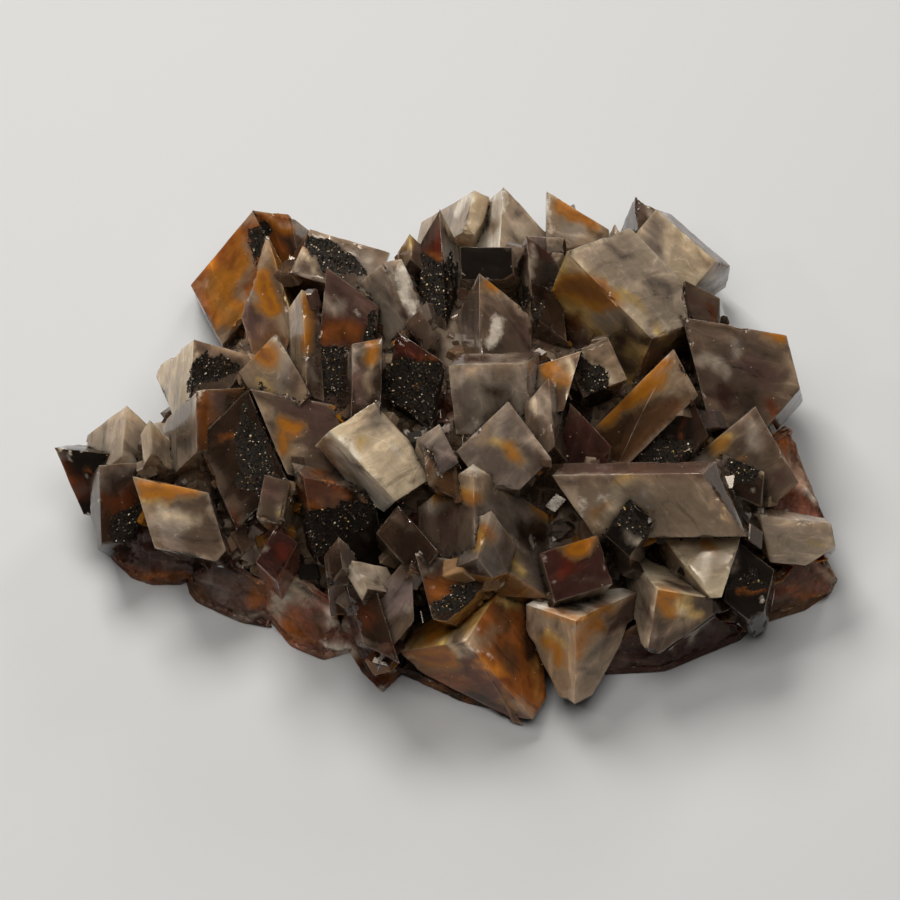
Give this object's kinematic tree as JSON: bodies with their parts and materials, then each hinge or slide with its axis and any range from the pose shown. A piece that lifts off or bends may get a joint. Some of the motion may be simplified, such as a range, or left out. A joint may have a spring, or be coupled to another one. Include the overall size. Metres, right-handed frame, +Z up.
{
  "type": "calcite specimen",
  "caption": "Cluster of blocky smoky, cream and amber calcite crystals on a red-brown calcite matrix, cut flat to stand.",
  "frame": {"origin": "on the surface it rests on, under the middle of the specimen's outline box", "axes": "+X along the specimen's length, -Y towards the front where the crystals look, +Z up"},
  "size_m": [0.1546, 0.1212, 0.0568],
  "materials": {
    "calcite": "vitreous, clear to milky, smoky and amber, with dark glittering coats",
    "red_calcite": "rough to glassy, red-brown"
  },
  "bodies": {
    "root": {"crystals": "calcite", "matrix": "red_calcite"}
  },
  "joints": []
}
